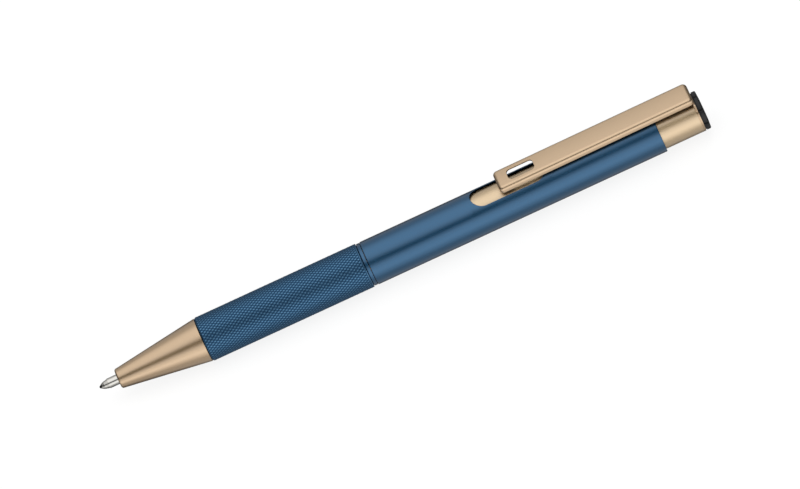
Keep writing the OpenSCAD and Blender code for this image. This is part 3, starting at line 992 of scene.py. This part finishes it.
@dataclass
class Plunger:
    """Plunger tube with its bush and pusher, the notched cap and the clip's foot, in millimetres."""

    pen: Pen
    tube_bore: float = 3.95
    tube_rear_edge: float = 0.06
    cap_length: float = 1.3
    cap_relief: float = 0.2
    cap_edge: float = 0.3
    dome_rise: float = 0.12
    dome_flat: float = 2.5
    hub: float = 1.2
    plug_bore: float = 2.3
    plug_bore_depth: float = 2.0
    notches: int = 8
    notch_width: float = 0.5
    notch_depth: float = 0.45
    notch_turn: float = math.radians(3)
    notch_columns: int = 5
    land_columns: int = 22
    wall_lean: float = 0.004
    slot_step: float = 0.003
    foot_half_width: float = 2.9
    foot_bend: float = 5.4
    foot_hole: float = 4.0
    foot_edge: float = 0.04
    tab_round: float = 0.98

    def tube(self) -> Shell:
        """Plain tube with eased ends."""
        return turned(tube_profile(self.pen.span("plunger_tube"), self.tube_bore, EASED, self.tube_rear_edge))

    def cap(self) -> Shell:
        """Cap turned with a dished plug, then notched.

        A notch keeps the points whose distance across it is under half its width within a smaller
        radius. The columns of points stand in pairs at its walls, at the angle asin(half width / r),
        so the walls stay flat but for a slight lean. The profile has two points a slot step apart where
        the notches start, and the fans that close it start from the hub.

        Returns:
            The cap.
        """
        plug, rear, radius = self.pen.span("end_cap")
        front, mouth = rear - self.cap_length, plug + self.plug_bore_depth
        side, slot, narrow = front + self.cap_relief, front + self.cap_relief / 2, radius - self.cap_relief
        corners = [
            *stepped((mouth, 0, 0, self.hub, 0)),
            (mouth, self.plug_bore, EASED),
            *stepped((plug, self.plug_bore, EASED, self.tube_bore, 0.15)),
            *stepped((front, self.tube_bore, HAIR, narrow, HAIR)),
            (slot, narrow, 0),
            (slot + self.slot_step, narrow, 0),
            (side, narrow, HAIR),
            (side + 0.03, radius, 2 * HAIR),
            (rear - self.dome_rise, radius, self.cap_edge),
            (rear, self.dome_flat, 0),
            *stepped((rear, self.hub, 0, 0, 0)),
        ]
        x, radii = rounded(corners)[1:-1].T
        floor = radius - self.notch_depth
        low = np.where((x > slot + self.slot_step / 2) & (radii > floor), floor, radii)
        near, far = (np.arcsin(self.notch_width / 2 / np.maximum(r, floor)) for r in (low, radii))
        far = far + self.wall_lean
        land = math.tau / self.notches - 2 * far
        columns: list[Array] = []
        for middle in full_turn(self.notches) + self.notch_turn:
            columns += [middle + share * near for share in np.linspace(-1, 1, self.notch_columns)]
            columns += [middle + far + share * land for share in np.linspace(0, 1, self.land_columns)]
        reaches = ([low] * self.notch_columns + [radii] * self.land_columns) * self.notches
        rings = ring_points(x[:, None], np.stack(reaches, -1), np.stack(columns, -1))
        return capped(rings, (mouth, 0, 0), (rear, 0, 0))

    def foot(self) -> Shell:
        """Ring stamped with a tab: outline at angle a the furthest of the ring and the tab's sides and end.

        The tab's end is rounded through the sheet's full thickness, and every other edge is eased. Angles
        stand in pairs, a hair apart, at the tab's corners and where it leaves the ring.

        Returns:
            The foot.
        """
        front, rear, _ = self.pen.span("clip_foot")
        ring, thick = self.pen.span("plunger_tube").radius, (rear - front) / 2
        top = self.foot_bend + thick
        corner, waist = math.atan2(self.foot_half_width, top), math.asin(self.foot_half_width / ring)
        hair = 1e-4
        parts = [(0, corner - hair, 14), (corner + hair, waist - hair, 8), (waist + hair, math.pi, 60)]
        half_turn = np.concatenate([np.linspace(*part) for part in parts])
        angle = np.concatenate([half_turn, -half_turn[-2:0:-1]])
        at_end = np.abs(angle) < corner
        side_reach = self.foot_half_width / np.maximum(np.abs(np.sin(angle)), 1e-6)
        tab = np.where(at_end, top / np.cos(angle), side_reach)
        outline = np.where(np.abs(angle) < waist, tab, ring)
        ease = np.where(at_end, thick * self.tab_round, SHARP)
        turn = quarter_turn(7)[:, None]
        rim = outline - ease + ease * np.sin(turn)
        side = thick - ease + ease * np.cos(turn)
        hole = np.full_like(rim[:1], self.foot_hole)
        face = [hole, hole + self.foot_edge, rim[:1] - self.foot_edge, rim]
        radii = np.concatenate([*face, *[part[::-1] for part in face[::-1]]])
        flat = np.full_like(hole, thick)
        forward = np.concatenate([flat - self.foot_edge, flat, flat, side])
        depth = np.concatenate([-forward, forward[::-1]])
        return skin(ring_points((front + rear) / 2 + depth, radii, angle))

    def build(self) -> None:
        """Adds the pieces of the plunger and finishes the hidden ones."""
        body, champagne = Body.PLUNGER, Stuff.CHAMPAGNE
        self.pen.add("plunger_tube_drawn", self.tube(), body, champagne, "plunger_tube", TUBE_FINISH_WITH_PAINTED_LIGHT)
        self.pen.add("end_cap_notched", self.cap(), body, Stuff.BLACK, "end_cap")
        self.pen.add("clip_foot_stamped", self.foot(), body, champagne, "clip_foot")
        self.pen.dress(plunger_bush=Stuff.WHITE, pusher=Stuff.LATCH)


@dataclass
class Clip:
    """Clip folded from one sheet into an upside-down tray, with a slot near its free end, in millimetres.

    slot gives the slot's distance from the free end, its length, its width and its corner radius.
    """

    pen: Pen
    length: float = 44.8
    width: float = 5.8
    depth: float = 1.5
    sheet: float = 0.4
    fold: float = 0.8
    corner: float = 0.95
    crown: float = 0.08
    slope: float = math.radians(0.45)
    fold_height: float = 5.65
    dense_length: float = 12.0
    slot: tuple[float, ...] = (2.8, 6.0, 3.0, 0.9)
    slot_edge: float = 0.05
    lip: float = 0.06
    lip_side: float = 0.1

    def outline(self) -> tuple[Array, Array]:
        """Rounded rectangle of the clip seen from above, from its free end at x = 0, and its normals.

        Its four sides, each without its ends, come in turn with the corner behind each of them. The
        points along the clip are closer together near the slot.

        Returns:
            Points (x, y), and the unit normal at each.
        """
        near_end, far_end = self.corner, self.length - self.corner
        half = self.width / 2 - self.corner
        dense = np.linspace(0, self.dense_length, 41)[1:]
        along = np.linspace(self.dense_length, self.length - 2 * self.corner, 34)[1:-1]
        along = near_end + np.concatenate([dense, along])
        across = np.linspace(-half, half, 15)[1:-1]
        quarter = quarter_turn(10)
        sides = [
            (along[::-1], self.width / 2, near_end, half, math.pi / 2),
            (0.0, across[::-1], near_end, -half, math.pi),
            (along, -self.width / 2, far_end, -half, -math.pi / 2),
            (self.length, across, far_end, half, 0.0),
        ]
        points, normals = [], []
        for x, y, centre_x, centre_y, start in sides:
            side = np.stack(np.broadcast_arrays(x, y), -1)
            normal = np.stack([np.cos(start + quarter), np.sin(start + quarter)], -1)
            points += [side, [centre_x, centre_y] + self.corner * normal]
            normals += [np.tile(np.round(normal[0]), (len(side), 1)), normal]
        return np.concatenate(points), np.concatenate(normals)

    def shell(self) -> Shell:
        """Section carried round the clip: top, fold, edge, lip, inner side, underside and slot wall.

        A step of the section is an inset d from the outline along its normal n and a height z, so its
        points are outline - d n. Between the slot and the fold they are shared out along straight lines.
        The top is crowned: a point at y loses the crown times (2 y / width)^2 times its share of the depth.
        The tray is then tilted about the line where it meets its foot, by
        x' = x cos s - z sin s and z' = z cos s + x sin s.

        Returns:
            The clip, its underside marked as inner, which its finish paints dark as shade.
        """
        outline, normal = self.outline()
        lip, top, inner, ease = self.lip, self.depth, self.fold - self.sheet, self.slot_edge
        turn, rise = quarter_turn(9), quarter_turn(4)
        section = [
            (self.fold - self.fold * np.sin(turn), top - self.fold + self.fold * np.cos(turn)),
            ([0.0], [lip + self.lip_side]),
            (lip - lip * np.cos(rise), lip - lip * np.sin(rise)),
            (self.sheet - lip + lip * np.sin(rise), lip - lip * np.cos(rise)),
            ([self.sheet], [lip + self.lip_side]),
            (self.fold - inner * np.cos(turn), top - self.fold + inner * np.sin(turn)),
        ]
        inset, height = (np.concatenate(part) for part in zip(*section))
        outer = outline[None] - inset[:, None, None] * normal[None]
        brink = outline - self.fold * normal
        slot, away = rim_of_hole(brink, self.slot)
        shares = np.array([0.04, 0.3, 0.7, 0.96])[:, None, None]
        open_edge = slot + away * ease
        under = brink + shares * (open_edge - brink)
        over = open_edge + shares * (brink - open_edge)
        wall = slot + away * ease * (1 - np.sin(rise))[:, None, None]
        plan = np.concatenate([outer, under, wall, wall[::-1], over])
        low, high = top - self.sheet + ease * (1 - np.cos(rise)), top - ease * (1 - np.cos(rise[::-1]))
        below, above = np.full(len(under), top - self.sheet), np.full(len(over), top)
        z = np.concatenate([height, below, low, high, above])
        # Painted shade: the inner faces of the flanges, the underside and the slot's lower edge are marked
        # inner, so they take the finish's darker inner colour.
        painted_shade_underside = np.zeros(len(z))
        painted_shade_underside[len(turn) + len(rise) + 1 : len(height) + len(under) + len(rise)] = 1
        x, y = plan[..., 0] - self.length + self.sheet / 2, plan[..., 1]
        z = z[:, None] * (1 - self.crown / self.depth * (2 * y / self.width) ** 2)
        front, rear, _ = self.pen.span("clip_foot")
        tilted_x = x * math.cos(self.slope) - z * math.sin(self.slope)
        tilted_z = z * math.cos(self.slope) + x * math.sin(self.slope)
        clip = skin(np.stack([tilted_x + (front + rear) / 2, y, tilted_z + self.fold_height], -1))
        clip.marks["inner"] = np.repeat(painted_shade_underside, x.shape[1])
        return clip

    def build(self) -> None:
        """Adds the clip."""
        self.pen.add("clip_folded", self.shell(), Body.CLIP, Stuff.CHAMPAGNE, "clip")


@dataclass
class Refill:
    """Refill with its ball and point, and the rotor of the latch behind it, in millimetres.

    cone_bulge gives points of the point's cone, each as its place behind the cone's front and its radius.
    """

    pen: Pen
    cone_length: float = 1.93
    cone_front: float = 0.42
    cone_bulge: Stops = ((0.3, 0.62), (0.78, 0.82))
    bulge_arc: float = 0.3
    cone_slope: float = 0.6
    cone_rear: float = 1.0
    step_length: float = 0.12
    step_depth: float = 0.03
    spigot_radius: float = 0.8
    spigot_length: float = 4.0
    passage: float = 0.4
    passage_front: float = 3.0
    ink_hole: float = 0.18
    lip_share: float = 0.94
    socket_depth: float = 0.3
    inked: float = 0.1

    def ball(self) -> Shell:
        """Ball of the point: (c - r cos t, r sin t) turned round the axis.

        Returns:
            The ball.
        """
        front, _, radius = self.pen.span("writing_ball")
        t = np.linspace(0, math.pi, 25)[:, None]
        x = front + radius * (1 - np.cos(t))
        rings = ring_points(x, radius * np.sin(t), full_turn(48))[1:-1]
        return capped(rings, (x[0, 0], 0, 0), (x[-1, 0], 0, 0))

    def point(self) -> Shell:
        """Bulged cone, a step behind it, the shank and its spigot, over a stepped bore.

        The cone's front rim is marked as inner, because it's dark with ink.

        Returns:
            The point.
        """
        front, rear, radius = self.pen.span("point_socket")
        ball = self.pen.span("writing_ball").radius
        step, bore = front - ball + self.cone_length, front - ball + self.passage_front
        inked, inked_radius = front + self.inked, self.cone_front + self.inked * self.cone_slope
        corners = [
            (front + self.socket_depth, self.ink_hole, HAIR),
            (front, ball * self.lip_share, 0.015),
            (front + 0.01, self.cone_front, HAIR),
            (inked, inked_radius, 0),
            (inked + 0.01, inked_radius + 0.004, 0),
            *[(front + reach, bulge, self.bulge_arc) for reach, bulge in self.cone_bulge],
            (step, self.cone_rear, 0.03),
            (step + self.step_length / 2, self.cone_rear - self.step_depth, HAIR),
            (step + self.step_length, radius, 0.03),
            *stepped((rear - self.spigot_length, radius, 0.08, self.spigot_radius, SHARP)),
            *stepped((rear, self.spigot_radius, 0.08, self.passage, SHARP)),
            (bore, self.passage, SHARP),
            (bore - 0.1, self.ink_hole, SHARP),
        ]
        point = turned(rounded(corners, 5), 96)
        point.marks["inner"] = (point.points[:, 0] < inked + 0.005).astype(float)
        return point

    def build(self) -> None:
        """Adds the ball and point and finishes the rest."""
        self.pen.add("ball_ground", self.ball(), Body.REFILL, Stuff.CARBIDE, "writing_ball")
        self.pen.add("point_turned", self.point(), Body.REFILL, Stuff.NICKEL, "point_socket")
        self.pen.dress(refill_adapter=Stuff.WHITE, refill_tube=Stuff.CLEAR, ink=Stuff.INK)
        self.pen.dress(ink_follower=Stuff.GREASE, rotor=Stuff.LATCH)


def add_card(
    name: str, places: Sequence[Sequence[float]], faces: Sequence[Sequence[int]], material: bpy.types.Material
) -> bpy.types.Object:
    """Adds a surface of the studio that doesn't belong to the pen.

    Args:
        name: Name of the surface.
        places: Its points, in metres.
        faces: Indices of the points round each of its faces.
        material: What it is made of.

    Returns:
        The surface.
    """
    mesh = bpy.data.meshes.new(name)
    mesh.from_pydata([tuple(place) for place in places], [], faces)
    mesh.materials.append(material)
    card = put_in_scene(name, mesh)
    return card


@dataclass(frozen=True)
class Lamp:
    """Long soft lamp beside the pen, parallel to it.

    Its middle stands at an elevation in degrees from the camera's side, and its lengths are in metres. A
    radiance of 1 is white.
    """

    name: str
    elevation: float
    width: float
    radiance: float = 1.0
    distance: float = 0.9
    length: float = 1.8

    def build(self) -> None:
        """Adds the lamp, which lights surfaces but isn't seen or mirrored."""
        angle = math.radians(self.elevation)
        away = Vector((0, -math.cos(angle), math.sin(angle)))
        along = Vector((1, 0, 0))
        turn = Matrix((along, away.cross(along), away)).transposed()
        data = bpy.data.lights.new(self.name, "AREA")
        data.shape = "RECTANGLE"
        data.size, data.size_y = self.length, self.width
        data.energy = self.radiance * math.pi * self.length * self.width
        lamp = put_in_scene(self.name, data)
        lamp.matrix_world = Matrix.Translation(away * self.distance) @ turn.to_4x4()
        lamp.visible_camera = lamp.visible_glossy = False


# The tent is light for reflections; its floor strip is a painted shadow of the pen on the floor.
@dataclass(frozen=True)
class Tent:
    """Half round light tent over the pen and the strip of floor under it, which only reflections show.

    Attributes:
        radius, half_length: Radius of the tent and half its length along the pen, in metres.
        over: Its brightness by elevation in degrees, from the camera's side, with a dark slit for the lens.
        along: Share of that brightness by distance from the pen's middle, in metres.
        before, behind: Brightness of the floor strip by distance before and behind the pen's axis, in metres,
        darkest near the axis as a painted shadow of the pen.
    """

    radius: float = 0.5
    half_length: float = 1.0
    over: Stops = (
        *((0, 1.0), (20, 0.95), (31, 0.55), (42, 0.02), (50, 0.02), (60, 0.55), (71, 0.95), (85, 1.0)),
        *((112, 0.95), (122, 0.86), (134, 0.65), (142, 0.45), (160, 0.4), (180, 0.38)),
    )
    along: Stops = ((0, 1.0), (0.12, 1.0), (0.3, 0.72), (0.5, 0.25), (0.8, 0.06), (1.0, 0.04))
    before: Stops = (
        *((0, 0.05), (0.0036, 0.12), (0.0045, 0.36), (0.0068, 0.38), (0.0088, 0.36), (0.0105, 0.41)),
        *((0.0135, 0.64), (0.0207, 0.8), (0.03, 0.95)),
    )
    behind: Stops = ((0, 0.0), (0.002, 0.1), (0.06, 0.1), (0.12, 0.4), (0.5, 0.4))

    def shade(self, name: str, rim: Array, ends: list[list[int]], over: bool) -> None:
        """Adds one of the two surfaces.

        Args:
            name: Name of the surface.
            rim: Points of its section, which is drawn out along the pen, in metres.
            ends: Faces that close its two ends.
            over: Whether it's the tent, not the strip of floor.
        """
        material, recipe = new_recipe(name)
        x, y, z = recipe.split(recipe.places())
        if over:
            glow = recipe.by_stops(z.maths("ARCTAN2", z, 0.0 - y) * (1 / math.pi), self.over, 180.0)
        else:
            # The floor strip paints the pen's shadow for reflections: dark near the axis, lighter further
            # away.
            near, far = self.before[-1][0], self.behind[-1][0]
            front = recipe.by_stops(y * (-1 / near), self.before, near)
            glow = y.maths("MAXIMUM", front, recipe.by_stops(y * (1 / far), self.behind, far))
        light = glow * recipe.by_stops(x.maths("ABSOLUTE", x), self.along, 1.0)
        recipe.show(recipe.add("Emission", None, {"Strength": light}))
        end = np.array([self.half_length, 0, 0])
        count = len(rim)
        faces = [[k, count + k, count + k + 1, k + 1] for k in range(count - 1)] + ends
        card = add_card(name, np.concatenate([rim - end, rim + end]), faces, material)
        card.visible_camera = card.visible_diffuse = card.visible_shadow = card.visible_transmission = False

    def build(self, floor: float) -> None:
        """Adds the tent, at (x, -R cos e, R sin e) for an elevation e, and the strip of floor.

        Args:
            floor: Height of the strip that paints the pen's shadow for reflections, in metres.
        """
        e = np.linspace(0, math.pi, 61)
        arc = np.stack([np.zeros_like(e), -self.radius * np.cos(e), self.radius * np.sin(e)], -1)
        self.shade("tent", arc, [list(range(len(e))), list(range(len(e), 2 * len(e)))], True)
        edge = np.array([[0, -self.before[-1][0], floor], [0, self.behind[-1][0], floor]])
        self.shade("tent_floor_painted_shadow", edge, [], False)


@dataclass
class Studio:
    """White floor and world, two long lamps, the tent that metals mirror, and the camera.

    Lengths are in metres and angles in degrees. The camera stands sideways towards the cap and aims at a
    place along the pen, and the picture's middle lies aim_above it. fill is the world's brightness where
    it only lights.
    """

    pen: Pen
    lamps: tuple[Lamp, ...] = (Lamp("lamp_over", 95.0, 1.0), Lamp("lamp_front", 20.0, 0.6))
    tent: Tent = Tent()
    elevation: float = 47.0
    distance: float = 1.8
    sideways: float = 0.046
    roll: float = 24.765
    seen_width: float = 0.1686
    aim: float = 0.0001
    aim_above: float = 0.00086
    fill: float = 0.8
    floor_half: float = 3.0
    floor_level: float = -0.00002
    floor_glow: float = 0.85

    def seen(self, recipe: Recipe) -> Socket:
        """Tells the rays that see the world from those that only light the pen.

        Args:
            recipe: Recipe of the world.

        Returns:
            1 for a ray from the camera, off a glossy surface or through a clear one, and 0 for others.
        """
        kinds = ("Is Camera Ray", "Is Glossy Ray", "Is Transmission Ray")
        camera, glossy, clear = (recipe.add("LightPath", output=kind) for kind in kinds)
        return camera.maths("MINIMUM", camera + glossy + clear, 1.0)

    def world(self) -> None:
        """White world for what is seen and mirrored, and a dimmer one for what only lights."""
        world = bpy.data.worlds.new("studio")
        world.use_nodes = True
        bpy.context.scene.world = world
        recipe = Recipe(world.node_tree)
        strength = self.seen(recipe) * (1 - self.fill) + self.fill
        light = recipe.add("Background", None, {"Color": (1, 1, 1, 1), "Strength": strength})
        recipe.show(light, "World")

    def floor(self) -> None:
        """White floor just under the pen, part of it glowing so that the shadow on it stays soft."""
        half, level = self.floor_half, self.floor_level
        corners = [(-half, -half, level), (half, -half, level), (half, half, level), (-half, half, level)]
        material, recipe = new_recipe("floor_white")
        lit = recipe.add("BsdfDiffuse", None, {"Color": (0.95, 0.95, 0.95, 1)})
        glow = recipe.add("Emission", None, {"Color": (1, 1, 1, 1), "Strength": 1.0})
        share = self.seen(recipe) * self.floor_glow
        recipe.show(recipe.add("MixShader", None, {0: share, 1: lit, 2: glow}))
        add_card("floor", corners, [(0, 1, 2, 3)], material)

    def camera(self) -> None:
        """Long lens at the photograph's angle, rolled so that the pen rises to the right."""
        angle, roll = math.radians(self.elevation), math.radians(self.roll)
        back = Vector((self.sideways, -math.cos(angle) * self.distance, math.sin(angle) * self.distance))
        aim = Vector((self.aim, 0, self.pen.axis * MM))
        forward = -back.normalized()
        right = (Vector((1, 0, 0)) - forward * forward.x).normalized()
        up = right.cross(forward)
        rolled_right = right * math.cos(roll) - up * math.sin(roll)
        rolled_up = right * math.sin(roll) + up * math.cos(roll)
        turn = Matrix((rolled_right, rolled_up, -forward)).transposed()
        data = bpy.data.cameras.new("camera")
        data.sensor_width = 36.0
        data.lens = data.sensor_width * back.length / self.seen_width
        camera = put_in_scene("camera", data)
        camera.matrix_world = Matrix.Translation(aim + back + up * self.aim_above) @ turn.to_4x4()
        bpy.context.scene.camera = camera

    def build(self) -> None:
        """Adds everything round the pen."""
        bpy.context.scene.view_settings.view_transform = "Standard"
        self.world()
        self.floor()
        for lamp in self.lamps:
            lamp.build()
        self.tent.build(self.floor_level / 2)
        self.camera()


def main() -> None:
    """Builds the pen's sub-assemblies in order, then the studio."""
    logging.basicConfig(level=logging.INFO, format="%(name)s: %(message)s", stream=sys.stdout)
    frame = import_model()
    pen = Pen(frame)
    for part in (FrontHalf(pen), RearHalf(pen), Plunger(pen), Clip(pen), Refill(pen), Studio(pen)):
        part.build()
        LOG.info("%s is done", type(part).__name__)


if __name__ == "__main__":
    main()
